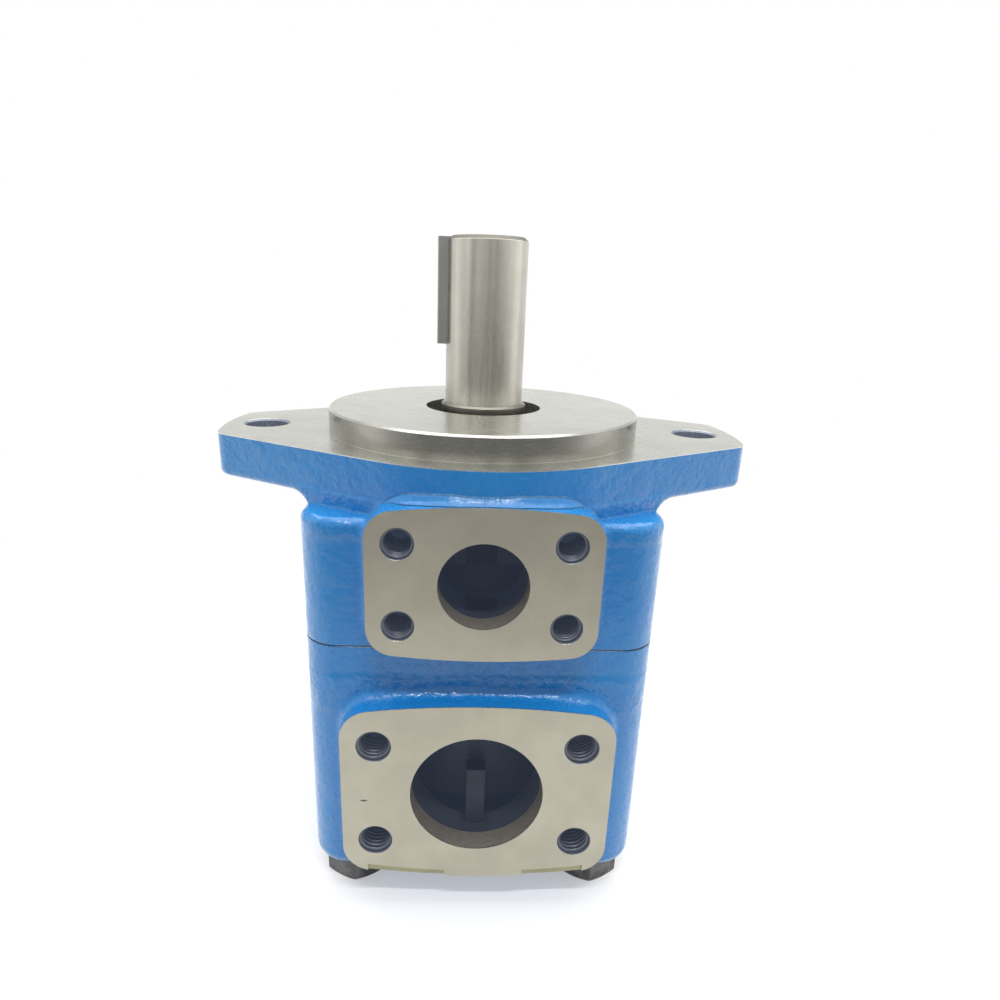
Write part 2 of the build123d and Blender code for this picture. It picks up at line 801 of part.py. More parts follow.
with BuildPart() as outlet_support_plate:
    with BuildSketch(Plane.XZ):
        with BuildLine():
            Polyline(
                (plate_shaft_bore / 2, plate_bottom_z),
                (plate_radius, plate_bottom_z),
                (plate_radius, plate_top_z - plate_seal_offset - plate_seal_width),
                (plate_radius - plate_seal_depth, plate_top_z - plate_seal_offset - plate_seal_width),
                (plate_radius - plate_seal_depth, plate_top_z - plate_seal_offset),
                (plate_radius, plate_top_z - plate_seal_offset),
                (plate_radius, plate_top_z),
                (hub_radius, plate_top_z),
                (hub_radius, hub_top_z - hub_seal_width / 2 - hub_seal_width),
                (hub_radius - hub_seal_depth, hub_top_z - hub_seal_width / 2 - hub_seal_width),
                (hub_radius - hub_seal_depth, hub_top_z - hub_seal_width / 2),
                (hub_radius, hub_top_z - hub_seal_width / 2),
                (hub_radius, hub_top_z),
                (plate_shaft_bore / 2, hub_top_z),
                close=True,
            )
        make_face()
    revolve(axis=Axis.Z)
    for turn in (0, 180):
        with BuildSketch(Plane.XY.offset(plate_bottom_z)):
            add(arc_slot(pocket_radius, pocket_width, pressure_angle + turn, kidney_span))
        extrude(amount=pocket_depth, mode=Mode.SUBTRACT)
        with BuildSketch(Plane.XY.offset(plate_top_z)):
            add(arc_slot(riser_radius, riser_width, pressure_angle + turn, kidney_span))
        extrude(
            amount=-(outlet_plate_thickness - pocket_depth + riser_overlap),
            mode=Mode.SUBTRACT,
        )
        with BuildSketch(Plane.XY.offset(plate_bottom_z)):
            with Locations(polar(suction_notch_place, suction_angle + turn)):
                Circle(suction_notch_radius)
        extrude(amount=side_plate_thickness, mode=Mode.SUBTRACT)
    with BuildSketch(Plane.XY.offset(plate_bottom_z)):
        with PolarLocations(dowel_circle_radius, 2, dowel_angle):
            Circle(dowel_diameter / 2 + snug)
        with PolarLocations(screw_circle_radius, 2, screw_angle):
            Circle(screw_diameter / 2 + snug)
    extrude(amount=screw_engagement, mode=Mode.SUBTRACT)
write(outlet_support_plate, "outlet_support_plate")


def side_plate(bottom_z):
    """A thin bronze-faced plate that the rotor runs against, with its pressure and suction ports."""
    with BuildPart() as plate:
        with BuildSketch(Plane.XY.offset(bottom_z)):
            Circle(cartridge_radius)
            Circle(side_plate_bore / 2, mode=Mode.SUBTRACT)
            for turn in (0, 180):
                add(
                    arc_slot(kidney_radius, kidney_width, pressure_angle + turn, kidney_span),
                    mode=Mode.SUBTRACT,
                )
                with Locations(polar(suction_notch_place, suction_angle + turn)):
                    Circle(suction_notch_radius, mode=Mode.SUBTRACT)
                for angle in (pressure_angle, suction_angle):
                    add(
                        arc_slot(vane_foot, well_port_width, angle + turn, well_port_span),
                        mode=Mode.SUBTRACT,
                    )
            with PolarLocations(dowel_circle_radius, 2, dowel_angle):
                Circle(dowel_diameter / 2 + snug, mode=Mode.SUBTRACT)
            with PolarLocations(screw_circle_radius, 2, screw_angle):
                Circle(screw_diameter / 2 + running, mode=Mode.SUBTRACT)
        extrude(amount=side_plate_thickness)
    return plate


front_side_plate = side_plate(ring_top_z)
write(front_side_plate, "front_side_plate")
rear_side_plate = side_plate(inlet_plate_top_z)
write(rear_side_plate, "rear_side_plate")

with BuildPart() as cam_ring:
    with BuildSketch(Plane.XY.offset(ring_bottom_z)):
        Circle(cartridge_radius)
        add(cam_contour(), mode=Mode.SUBTRACT)
        with PolarLocations(dowel_circle_radius, 2, dowel_angle):
            Circle(dowel_diameter / 2 + snug, mode=Mode.SUBTRACT)
        with PolarLocations(screw_circle_radius, 2, screw_angle):
            Circle(screw_diameter / 2 + running, mode=Mode.SUBTRACT)
    extrude(amount=ring_width)
write(cam_ring, "cam_ring")

with BuildPart() as rotor:
    with BuildSketch(Plane.XY.offset(ring_bottom_z + rotor_end_gap)):
        Circle(rotor_radius)
        add(
            spline_outline(
                spline_major_radius + running,
                spline_minor_radius + running,
                spline_tooth_width + 2 * running,
            ),
            mode=Mode.SUBTRACT,
        )
        with PolarLocations(0, vane_count, vane_phase):
            with Locations((slot_floor, 0)):
                Rectangle(
                    rotor_radius,
                    vane_thickness + 2 * running,
                    align=(Align.MIN, Align.CENTER),
                    mode=Mode.SUBTRACT,
                )
        with PolarLocations(vane_foot, vane_count, vane_phase):
            Circle(vane_slot_well_diameter / 2, mode=Mode.SUBTRACT)
    extrude(amount=rotor_width)
write(rotor, "rotor")


def vane(index):
    """One vane, home in its slot: a rounded tip, and a notch in its foot for the insert."""
    plane = Plane(origin=(0, 0, ring_middle_z)).rotated((0, 0, vane_phase + 360 / vane_count * index))
    with BuildPart() as blade:
        with BuildSketch(plane.offset(-rotor_width / 2)) as section:
            with Locations((vane_foot, 0)):
                Rectangle(vane_height, vane_thickness, align=(Align.MIN, Align.CENTER))
            tip = section.vertices().sort_by_distance(plane.origin)[-2:]
            fillet(tip, vane_tip_radius)
        extrude(amount=rotor_width)
        with BuildSketch(plane.offset(-insert_length / 2 - running)):
            with Locations((vane_foot, 0)):
                Rectangle(
                    insert_height + running,
                    2 * vane_thickness,
                    align=(Align.MIN, Align.CENTER),
                )
        extrude(amount=insert_length + 2 * running, mode=Mode.SUBTRACT)
    return blade


for index in range(vane_count):
    write(vane(index), f"vane_{index + 1}")

with BuildPart() as vane_inserts:
    with BuildSketch(Plane.XY.offset(ring_middle_z - insert_length / 2)):
        with PolarLocations(0, vane_count, vane_phase):
            with Locations((vane_foot, 0)):
                Rectangle(insert_height, vane_thickness, align=(Align.MIN, Align.CENTER))
    extrude(amount=insert_length)
write(vane_inserts, "vane_inserts")

with BuildPart() as inlet_support_plate:
    with BuildSketch(Plane.XY.offset(inlet_plate_bottom_z)):
        Circle(cartridge_radius)
        Circle(bushing_outer_diameter / 2 + snug, mode=Mode.SUBTRACT)
        with PolarLocations(dowel_circle_radius, 2, dowel_angle):
            Circle(dowel_diameter / 2 + snug, mode=Mode.SUBTRACT)
        with PolarLocations(screw_circle_radius, 2, screw_angle):
            Circle(screw_diameter / 2 + running, mode=Mode.SUBTRACT)
    extrude(amount=inlet_plate_thickness)
    with BuildSketch(Plane.XY.offset(inlet_plate_bottom_z)):
        with PolarLocations(screw_circle_radius, 2, screw_angle):
            Circle(screw_head_diameter / 2 + running)
    extrude(amount=screw_head_height, mode=Mode.SUBTRACT)
    with BuildSketch(Plane.XY.offset(inlet_plate_top_z)):
        for turn in (0, 180):
            with Locations(polar(suction_notch_place, suction_angle + turn)):
                Circle(suction_notch_radius)
    extrude(amount=-2 * side_plate_thickness, mode=Mode.SUBTRACT)
write(inlet_support_plate, "inlet_support_plate")

with BuildPart() as tail_bushing:
    with BuildSketch(Plane.XY.offset(inlet_plate_bottom_z)):
        Circle(bushing_outer_diameter / 2)
        Circle(tail_radius + running, mode=Mode.SUBTRACT)
    extrude(amount=inlet_plate_thickness - snug)
write(tail_bushing, "tail_bushing")

dowel_bottom_z = inlet_plate_bottom_z + screw_head_height
with BuildPart() as cartridge_dowels:
    with BuildSketch(Plane.XY.offset(dowel_bottom_z)):
        with PolarLocations(dowel_circle_radius, 2, dowel_angle):
            Circle(dowel_diameter / 2)
    extrude(amount=plate_bottom_z + dowel_engagement - dowel_bottom_z)
write(cartridge_dowels, "cartridge_dowels")

with BuildPart() as cartridge_screws:
    with BuildSketch(Plane.XY.offset(inlet_plate_bottom_z)):
        with PolarLocations(screw_circle_radius, 2, screw_angle):
            Circle(screw_head_diameter / 2)
            RegularPolygon(screw_socket_size / math.sqrt(3), 6, mode=Mode.SUBTRACT)
    extrude(amount=screw_head_height)
    with BuildSketch(Plane.XY.offset(inlet_plate_bottom_z + screw_head_height / 2)):
        with PolarLocations(screw_circle_radius, 2, screw_angle):
            Circle(screw_diameter / 2)
    extrude(
        amount=plate_bottom_z + screw_engagement - hub_clearance
        - inlet_plate_bottom_z - screw_head_height / 2
    )
write(cartridge_screws, "cartridge_screws")

# ================================================================ stationary seals
with BuildPart() as plate_o_ring:
    add(
        washer(
            plate_radius,
            plate_radius - plate_seal_depth + snug,
            o_ring_corner,
            plate_top_z - plate_seal_offset - plate_seal_width + seal_gap,
            plate_seal_width - 2 * seal_gap,
        )
    )
write(plate_o_ring, "plate_o_ring")

hub_seal_bottom_z = hub_top_z - hub_seal_width / 2 - hub_seal_width
with BuildPart() as hub_o_ring:
    add(
        washer(
            hub_radius,
            hub_radius - hub_seal_depth + snug,
            o_ring_corner,
            hub_seal_bottom_z + seal_gap,
            hub_seal_width - 2 * seal_gap,
        )
    )
write(hub_o_ring, "hub_o_ring")

with BuildPart() as cover_o_ring:
    add(
        washer(
            groove_inner + o_ring_groove_width - seal_gap,
            groove_inner + seal_gap / 2,
            o_ring_corner,
            parting_z - o_ring_groove_depth,
            o_ring_groove_depth,
        )
    )
write(cover_o_ring, "cover_o_ring")

# ================================================================ cover bolts
with BuildPart() as cover_bolts:
    with BuildSketch(Plane.XY.offset(cover_rear_z)):
        with Locations(*bolt_places):
            RegularPolygon(cover_bolt_head_flats / math.sqrt(3), 6, rotation=30)
    extrude(amount=-cover_bolt_head_height)
    with BuildSketch(Plane.XY.offset(cover_rear_z - cover_bolt_head_height)):
        with Locations(*bolt_places):
            Circle(cover_bolt_head_flats / 2)
    extrude(amount=cover_bolt_head_height, taper=-60, mode=Mode.INTERSECT)
    with BuildSketch(Plane.XY.offset(cover_rear_z)):
        with Locations(*bolt_places):
            Circle(cover_bolt_radius)
    extrude(amount=cover_bolt_tip_z - cover_rear_z)
    chamfer(cover_bolts.faces().sort_by(Axis.Z)[-4:].edges(), cover_bolt_head_chamfer)
write(cover_bolts, "cover_bolts")
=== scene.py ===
import json
import math

import bmesh
import bpy
from mathutils import Matrix, Vector


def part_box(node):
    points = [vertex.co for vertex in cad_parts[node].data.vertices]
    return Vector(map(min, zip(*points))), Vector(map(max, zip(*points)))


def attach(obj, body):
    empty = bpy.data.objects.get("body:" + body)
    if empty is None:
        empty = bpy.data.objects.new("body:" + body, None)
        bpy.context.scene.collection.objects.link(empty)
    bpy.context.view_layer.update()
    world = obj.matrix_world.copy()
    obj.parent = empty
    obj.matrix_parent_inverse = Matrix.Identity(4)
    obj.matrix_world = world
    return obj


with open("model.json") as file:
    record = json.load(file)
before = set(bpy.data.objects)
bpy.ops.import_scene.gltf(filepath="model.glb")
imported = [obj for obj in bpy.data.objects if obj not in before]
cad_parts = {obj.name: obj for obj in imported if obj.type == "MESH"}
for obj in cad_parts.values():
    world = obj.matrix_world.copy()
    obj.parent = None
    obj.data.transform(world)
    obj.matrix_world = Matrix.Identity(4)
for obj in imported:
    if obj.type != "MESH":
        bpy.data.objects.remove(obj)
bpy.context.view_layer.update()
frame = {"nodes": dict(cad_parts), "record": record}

nodes = frame["nodes"]
scene = bpy.context.scene
MM = 0.001

# ------------------------------------------------------------------ where things are
housing_lo, housing_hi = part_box("housing")
floor_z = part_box("cover_bolts")[0][2]
shaft_end_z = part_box("drive_shaft")[1][2]
outlet_y = housing_lo[1]
inlet_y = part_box("cover")[0][1]
parting_z = housing_lo[2]
pilot_top_z = housing_hi[2]
mounts = {m["name"]: m for m in frame["record"]["mounts"]}
outlet_z = mounts["outlet_port"]["pos_m"][2]
inlet_z = mounts["inlet_port"]["pos_m"][2]
outlet_r = mounts["outlet_port"]["dims"]["r_mm"] * MM
inlet_r = mounts["inlet_port"]["dims"]["r_mm"] * MM
pilot_r = mounts["pilot"]["dims"]["r_mm"] * MM
ear_x = mounts["flange_bolts"]["dims"]["spacing_x_mm"] * MM / 2
ear_hole_r = mounts["flange_bolts"]["dims"]["hole_r_mm"] * MM


def bolt_centres(name):
    """The (x, z) places of a port's four tapped holes."""
    mount = mounts[name]
    x = mount["dims"]["spacing_x_mm"] * MM / 2
    z = mount["dims"]["spacing_y_mm"] * MM / 2
    return [(sx * x, mount["pos_m"][2] + sz * z) for sx in (-1, 1) for sz in (-1, 1)]


# places on the solids, and limits of the masks laid over them, in metres
JOURNAL_TOP = 0.0115
SHAFT_CHAMFER = 0.0014
NICK_X = -0.0430
NICK_DROP = 0.0028
PAD_LIP_DEPTH = 0.009
PASSAGE_SHADE_DEPTH = 0.024
TAPS_END_Y = -0.045
PASSAGE_END_Y = -0.03
CAVITY_R = 0.0556
RIB_SHADE_HALF = 0.006
CARTRIDGE_RIM_R = 0.0492
RIPPLE_END_Y = -0.045
HOUSING_RIPPLE_Z = (-0.027, -0.0145)
COVER_RIPPLE_RISE = (0.030, 0.046)

# ------------------------------------------------------------------ shader helpers
class Graph:
    """Builds the nodes of one material, or of the world, with few words."""

    def __init__(self, owner, output="ShaderNodeOutputMaterial", space="Object"):
        self.owner = owner
        owner.use_nodes = True
        self.tree = owner.node_tree
        self.tree.nodes.clear()
        self.output = self.tree.nodes.new(output)
        coords = self.tree.nodes.new("ShaderNodeTexCoord")
        self.place = coords.outputs[space]
        split = self.node("ShaderNodeSeparateXYZ", Vector=self.place)
        self.x, self.y, self.z = split.outputs

    def node(self, kind, props=None, **inputs):
        made = self.tree.nodes.new(kind)
        for key, value in (props or {}).items():
            setattr(made, key, value)
        for key, value in inputs.items():
            self.feed(made.inputs[key.replace("_", " ")], value)
        return made

    def feed(self, socket, value):
        if isinstance(value, bpy.types.NodeSocket):
            self.tree.links.new(value, socket)
        elif value is not None:
            socket.default_value = value

    def math(self, operation, a, b=None):
        made = self.node("ShaderNodeMath", {"operation": operation})
        for index, value in enumerate((a, b)):
            if value is not None:
                self.feed(made.inputs[index], value)
        return made.outputs[0]

    def ramp(self, value, low, high, to_low=0.0, to_high=1.0):
        made = self.node("ShaderNodeMapRange", {"interpolation_type": "SMOOTHSTEP"})
        for index, number in enumerate((value, low, high, to_low, to_high)):
            self.feed(made.inputs[index], number)
        return made.outputs[0]

    def below(self, value, limit, soft=0.00004):
        if isinstance(limit, bpy.types.NodeSocket):
            return self.below(self.math("SUBTRACT", value, limit), 0.0, soft)
        return self.ramp(value, limit - soft, limit + soft, 1.0, 0.0)

    def above(self, value, limit, soft=0.00004):
        return self.ramp(value, limit - soft, limit + soft)

    def both(self, *masks):
        result = masks[0]
        for mask in masks[1:]:
            result = self.math("MULTIPLY", result, mask)
        return result

    def either(self, *masks):
        result = masks[0]
        for mask in masks[1:]:
            result = self.math("MAXIMUM", result, mask)
        return result

    def inverse(self, mask):
        return self.math("SUBTRACT", 1.0, mask)

    def distance(self, a, b, centre_a, centre_b):
        da = self.math("SUBTRACT", a, centre_a)
        db = self.math("SUBTRACT", b, centre_b)
        square = self.math("ADD", self.math("MULTIPLY", da, da), self.math("MULTIPLY", db, db))
        return self.math("SQRT", square)

    def noise(self, scale, detail=3.0, roughness=0.5, stretch=None, seed=0.0):
        vector = self.place
        if stretch or seed:
            vector = self.node(
                "ShaderNodeMapping",
                Vector=vector,
                Scale=stretch or (1, 1, 1),
                Location=(seed, seed * 0.7, seed * 1.3),
            ).outputs[0]
        made = self.node(
            "ShaderNodeTexNoise", Vector=vector, Scale=scale, Detail=detail, Roughness=roughness
        )
        return made.outputs[0]

    def mix(self, factor, a, b):
        made = self.node("ShaderNodeMix", {"data_type": "RGBA"})
        self.feed(made.inputs[0], factor)
        self.feed(made.inputs[6], a)
        self.feed(made.inputs[7], b)
        return made.outputs[2]

    def blend_value(self, factor, a, b):
        made = self.node("ShaderNodeMix", {"data_type": "FLOAT"})
        self.feed(made.inputs[0], factor)
        self.feed(made.inputs[2], a)
        self.feed(made.inputs[3], b)
        return made.outputs[0]

    def bump(self, height, distance, strength=1.0, normal=None):
        return self.node(
            "ShaderNodeBump", Height=height, Distance=distance, Strength=strength, Normal=normal
        ).outputs[0]

    def surface(self, **inputs):
        shader = self.node("ShaderNodeBsdfPrincipled", **inputs)
        return shader.outputs[0]

    def done(self, shader):
        self.tree.links.new(shader, self.output.inputs["Surface"])
        return self.owner


def new_material(name):
    return Graph(bpy.data.materials.new(name))


def rgb(r, g, b):
    """A colour given as it looks on screen, 0 to 255."""

    def linear(v):
        v /= 255
        return v / 12.92 if v <= 0.04045 else ((v + 0.055) / 1.055) ** 2.4

    return (linear(r), linear(g), linear(b), 1.0)


def scaled(colour, share):
    """A colour made darker or lighter by a share."""
    return tuple(c * share for c in colour[:3]) + (1.0,)


BLUE = rgb(24, 127, 199)
BLUE_DEEP = rgb(14, 96, 164)
BLUE_LIGHT = rgb(42, 142, 205)
PAD_WARM = rgb(183, 179, 163)
TOP_GREY = rgb(214, 214, 205)
WALL_GREY = rgb(166, 165, 157)
RIM_PALE = rgb(232, 232, 224)
LEDGE_OLIVE = rgb(158, 156, 126)
# nearly black oily iron; also the painted shade in the ports' mouths and over their ribs
OIL_DARK_AND_SHADE = (0.030, 0.033, 0.044, 1.0)
PASSAGE_GREY = (0.050, 0.055, 0.075, 1.0)
# painted light: a bluish glow given off inside passages and holes, standing in for light that reaches them
PAINTED_GLOW_BLUE = (0.017, 0.023, 0.036, 1.0)
HOLE_GREY = (0.080, 0.086, 0.105, 1.0)
# painted light: the flange's bolt-hole walls in a light bluish grey, as if lit from below through the hole
EAR_HOLE_PAINTED_LIGHT = (0.270, 0.297, 0.370, 1.0)
THREAD_GREY = (0.145, 0.152, 0.172, 1.0)
LIP_BROWN = (0.36, 0.33, 0.295, 1.0)
JOINT_BLUE = (0.012, 0.030, 0.060, 1.0)


def enamel(g, root, seam=None):
    """Sprayed gloss enamel on sand-cast iron: lumps, orange peel, ripples at the roots, soft edges."""
    lumps = g.noise(70.0, 3.0, 0.5)
    peel = g.noise(620.0, 2.0, 0.5)
    grain = g.noise(300.0, 3.0, 0.55, seed=3.0)
    tone = g.ramp(g.noise(28.0, 3.0, 0.55, seed=7.0), 0.35, 0.68)
    colour = g.mix(g.math("MULTIPLY", tone, 0.35), BLUE, BLUE_LIGHT)
    dust = g.ramp(grain, 0.60, 0.74)
    colour = g.mix(g.math("MULTIPLY", dust, 0.18), colour, BLUE_DEEP)
    round_edge = g.node("ShaderNodeBevel", {"samples": 6}, Radius=0.0011).outputs[0]
    normal = g.bump(lumps, 0.0014, 0.5, round_edge)
    normal = g.bump(grain, 0.0007, 0.45, normal)
    normal = g.bump(peel, 0.00022, 0.5, normal)
    ripple = g.math("MULTIPLY", root, g.noise(230.0, 2.0, 0.5, seed=11.0))
    normal = g.bump(ripple, 0.0013, 0.6, normal)
    if seam is not None:
        normal = g.bump(seam, 0.0003, 0.6, normal)
    return g.surface(
        Base_Color=colour,
        Roughness=g.ramp(grain, 0.35, 0.75, 0.24, 0.36),
        Specular_IOR_Level=0.5,
        Normal=normal,
        Coat_Weight=0.5,
        Coat_Roughness=0.03,
        Coat_Normal=normal,
    )


def machined(g, colour, rough=0.38, scale=420.0, stretch=(1, 1, 1), bump=0.00004):
    """A milled or ground face: fine tool lines, a little blotchy, warm grey."""
    lines = g.noise(scale, 2.0, 0.6, stretch=stretch)
    blotch = g.ramp(g.noise(55.0, 4.0, 0.6, seed=2.0), 0.30, 0.72)
    tint = g.mix(blotch, scaled(colour, 0.88), colour)
    roughness = g.ramp(lines, 0.3, 0.7, rough - 0.02, rough + 0.04)
    return g.surface(
        Base_Color=tint,
        Metallic=1.0,
        Roughness=roughness,
        Normal=g.bump(lines, bump, 0.6),
    )


def bare_casting(g, colour=OIL_DARK_AND_SHADE, painted_glow=0.0):
    """Raw cast iron inside a passage: dark, oily and rough, with a faint painted bluish glow as painted
    light in the dark passage.
    """
    grain = g.noise(260.0, 5.0, 0.65)
    tint = g.mix(g.ramp(grain, 0.35, 0.7), colour, g.mix(0.45, colour, OIL_DARK_AND_SHADE))
    return g.surface(
        Base_Color=tint,
        Roughness=0.55,
        Specular_IOR_Level=0.3,
        Normal=g.bump(grain, 0.0006, 0.7),
        Emission_Color=PAINTED_GLOW_BLUE,
        Emission_Strength=painted_glow,
    )


def drilled(g, colour, metal=0.35, painted_glow=0.0):
    """The wall of a drilled or bored hole: dull, with round tool marks, and a faint painted bluish glow when
    one is given.
    """
    marks = g.noise(900.0, 2.0, 0.6, stretch=(0.4, 3.0, 0.4))
    return g.surface(
        Base_Color=g.mix(g.ramp(marks, 0.3, 0.7), scaled(colour, 0.7), colour),
        Metallic=metal,
        Roughness=0.45,
        Normal=g.bump(marks, 0.00006, 0.6),
        Emission_Color=PAINTED_GLOW_BLUE,
        Emission_Strength=painted_glow,
    )


def layered(g, base, *covers):
    """Shaders laid over one another, each with its mask."""
    result = base
    for mask, shader in covers:
        mixed = g.node("ShaderNodeMixShader")
        g.feed(mixed.inputs[0], mask)
        g.feed(mixed.inputs[1], result)
        g.feed(mixed.inputs[2], shader)
        result = mixed.outputs[0]
    return result


def nick_mask(g, z):
    """A small flat nick near the left edge of the inlet pad's face."""
    flatness = 0.32
    across = g.math("MULTIPLY", g.math("SUBTRACT", g.x, NICK_X), flatness)
    size = g.distance(across, g.z, 0.0, z)
    return g.both(g.below(size, 0.0004, 0.0002), g.inverse(g.above(g.z, parting_z)))


def joint_line(g, z):
    """The oily hairline where housing and cover meet."""
    off = g.math("ABSOLUTE", g.math("SUBTRACT", g.z, z))
    waver = g.math("MULTIPLY", g.noise(90.0, 2.0, 0.5, seed=9.0), 0.0004)
    return g.below(off, g.math("ADD", waver, 0.00010))


def casting_material(name, pad_y, port_z, port_r, taps, tap_r, with_flange):
    """Enamel outside, machined metal on the sealing faces and in the holes, raw iron inside."""
    g = new_material(name)
    seam = None
    if with_flange:
        drift = g.math("SUBTRACT", g.noise(60.0, 2.0, 0.5, seed=5.0), 0.5)
        wander = g.math("MULTIPLY", drift, 0.0012)
        across = g.math("ABSOLUTE", g.math("ADD", g.x, wander))
        seam = g.both(g.below(across, 0.0005, 0.0005), g.below(g.y, -0.06), g.above(g.z, -0.018))
    if with_flange:
        low, high = HOUSING_RIPPLE_Z
        root_span = (g.above(g.z, low, 0.002), g.below(g.z, high, 0.001))
    else:
        low, high = COVER_RIPPLE_RISE
        root_span = (g.above(g.z, port_z + low, 0.002), g.below(g.z, port_z + high, 0.002))
    paint = enamel(g, g.both(*root_span, g.below(g.y, RIPPLE_END_Y)), seam)
    pad_mask = g.below(g.y, pad_y + 0.00012)
    pad = machined(g, PAD_WARM, 0.40, 260.0, (1.0, 1.0, 9.0))
    rim = machined(g, RIM_PALE, 0.25)
    rim_mask = g.both(g.below(g.y, pad_y + 0.00045), g.inverse(pad_mask))
    ledge_mask = g.both(g.below(g.y, pad_y + 0.00086), g.below(g.z, port_z - 0.032))
    ledge = machined(g, LEDGE_OLIVE, 0.45, 300.0)
    holes = None
    for x, z in taps:
        near = g.below(g.distance(g.x, g.z, x, z), tap_r + 0.0004)
        holes = near if holes is None else g.either(holes, near)
    behind_face = g.above(g.y, pad_y + 0.00006)
    holes = g.both(holes, behind_face, g.below(g.y, TAPS_END_Y))
    from_port = g.distance(g.x, g.z, 0.0, port_z)
    port_mask = g.both(
        g.below(from_port, port_r + 0.0008), behind_face, g.below(g.y, PASSAGE_END_Y)
    )
    lip = drilled(g, LIP_BROWN, 0.5)
    lip_mask = g.both(port_mask, g.below(g.y, pad_y + PAD_LIP_DEPTH))
    # painted shade: the passage near the port's face and the strip over its rib are painted darker than the
    # passage behind
    painted_shade_mouth_mask = g.both(port_mask, g.below(g.y, pad_y + PASSAGE_SHADE_DEPTH, 0.002))
    painted_shade_rib_mask = g.both(port_mask, g.below(g.math("ABSOLUTE", g.x), RIB_SHADE_HALF))
    from_axis = g.distance(g.x, g.y, 0.0, 0.0)
    inside = g.both(g.below(from_axis, CAVITY_R), g.below(g.z, -0.0008))
    dark_oil = g.surface(Base_Color=OIL_DARK_AND_SHADE, Roughness=0.3)
    # painted light: the cavity, passage, mouth, rib strip and tapped holes give off a faint bluish glow
    layers = [
        (joint_line(g, parting_z), g.surface(Base_Color=JOINT_BLUE, Roughness=0.3)),
        (g.either(inside, port_mask), bare_casting(g, PASSAGE_GREY, 1.0)),
        (painted_shade_mouth_mask, bare_casting(g, OIL_DARK_AND_SHADE, 1.0)),
        (painted_shade_rib_mask, bare_casting(g, OIL_DARK_AND_SHADE, 0.8)),
        (lip_mask, lip),
        (ledge_mask, ledge),
        (rim_mask, rim),
        (pad_mask, pad),
        (g.both(pad_mask, nick_mask(g, port_z - NICK_DROP)), dark_oil),
        (holes, drilled(g, HOLE_GREY, 0.35, 1.6)),
    ]
    if with_flange:
        top = g.above(g.z, -0.00012)
        top_rim = g.both(g.above(g.z, -0.0004), g.inverse(top))
        ear_holes = None
        for side in (-1, 1):
            near = g.below(g.distance(g.x, g.y, side * ear_x, 0.0), ear_hole_r + 0.00105)
            ear_holes = near if ear_holes is None else g.either(ear_holes, near)
        layers.append((top_rim, rim))
        layers.append((top, machined(g, TOP_GREY, 0.25, 90.0, (1, 1, 1), 0.0)))
        wall = g.both(
            g.above(g.z, 0.0001),
            g.below(g.z, pilot_top_z - 0.0007),
            g.above(from_axis, pilot_r - 0.0005),
        )
        layers.append((wall, machined(g, WALL_GREY, 0.24, 240.0, (1.0, 1.0, 9.0), 0.0000015)))
        # ear hole walls painted light bluish, painted light from below
        layers.append((g.both(ear_holes, g.below(g.z, -0.0001)), drilled(g, EAR_HOLE_PAINTED_LIGHT)))
    return g.done(layered(g, paint, *layers))


def steel_material(name, colour, rough, scale=400.0, stretch=(1, 1, 1)):
    """One worked metal all over a piece, with tool lines along the stretch."""
    g = new_material(name)
    return g.done(machined(g, colour, rough, scale, stretch, 0.00003))


def oily_iron(name):
    """Phosphated iron that stands in oil: nearly black, with a faint painted bluish glow."""
    g = new_material(name)
    return g.done(bare_casting(g, OIL_DARK_AND_SHADE, 1.0))


def ring_material(name, colour, rim_radius):
    """A ring with bright working faces and a phosphated rim that gives off a faint painted bluish glow."""
    g = new_material(name)
    rim = g.above(g.distance(g.x, g.y, 0.0, 0.0), rim_radius)
    return g.done(layered(g, machined(g, colour, 0.3, 500.0), (rim, bare_casting(g, OIL_DARK_AND_SHADE, 1.0))))


def shaft_material():
    """Ground steel with upright polish lines, duller on the seal's journal and at the turned end."""
    g = new_material("shaft_ground_steel")
    polished = machined(g, rgb(194, 191, 180), 0.27, 900.0, (1, 1, 0.06), 0.000012)
    journal = g.below(g.z, JOURNAL_TOP)
    end_chamfer = g.above(g.z, shaft_end_z - SHAFT_CHAMFER)
    return g.done(
        layered(
            g,
            polished,
            (journal, machined(g, rgb(138, 136, 126), 0.36, 900.0)),
            (end_chamfer, machined(g, rgb(118, 116, 108), 0.50, 900.0)),
        )
    )


def soft_material(name, colour, rough):
    """Moulded rubber, finely grained."""
    g = new_material(name)
    grain = g.noise(1400.0, 3.0, 0.6)
    tint = g.mix(g.ramp(grain, 0.4, 0.7), colour, scaled(colour, 1.6))
    return g.done(
        g.surface(Base_Color=tint, Roughness=rough, Normal=g.bump(grain, 0.00006, 0.4))
    )


def black_oxide(name):
    """Hot-blacked bolt steel: dark, a little uneven, faintly oily."""
    g = new_material(name)
    blotch = g.noise(160.0, 4.0, 0.6)
    tint = g.mix(g.ramp(blotch, 0.35, 0.7), (0.080, 0.079, 0.076, 1.0), (0.200, 0.196, 0.188, 1.0))
    return g.done(
        g.surface(
            Base_Color=tint,
            Metallic=0.85,
            Roughness=g.ramp(blotch, 0.3, 0.7, 0.30, 0.50),
            Normal=g.bump(g.noise(700.0, 2.0), 0.00005, 0.5),
        )
    )


def dress(name, material):
    """Gives a CAD node its finished material."""
    thing = nodes[name]
    if not thing.material_slots:
        thing.data.materials.append(None)
    for slot in thing.material_slots:
        slot.material = material


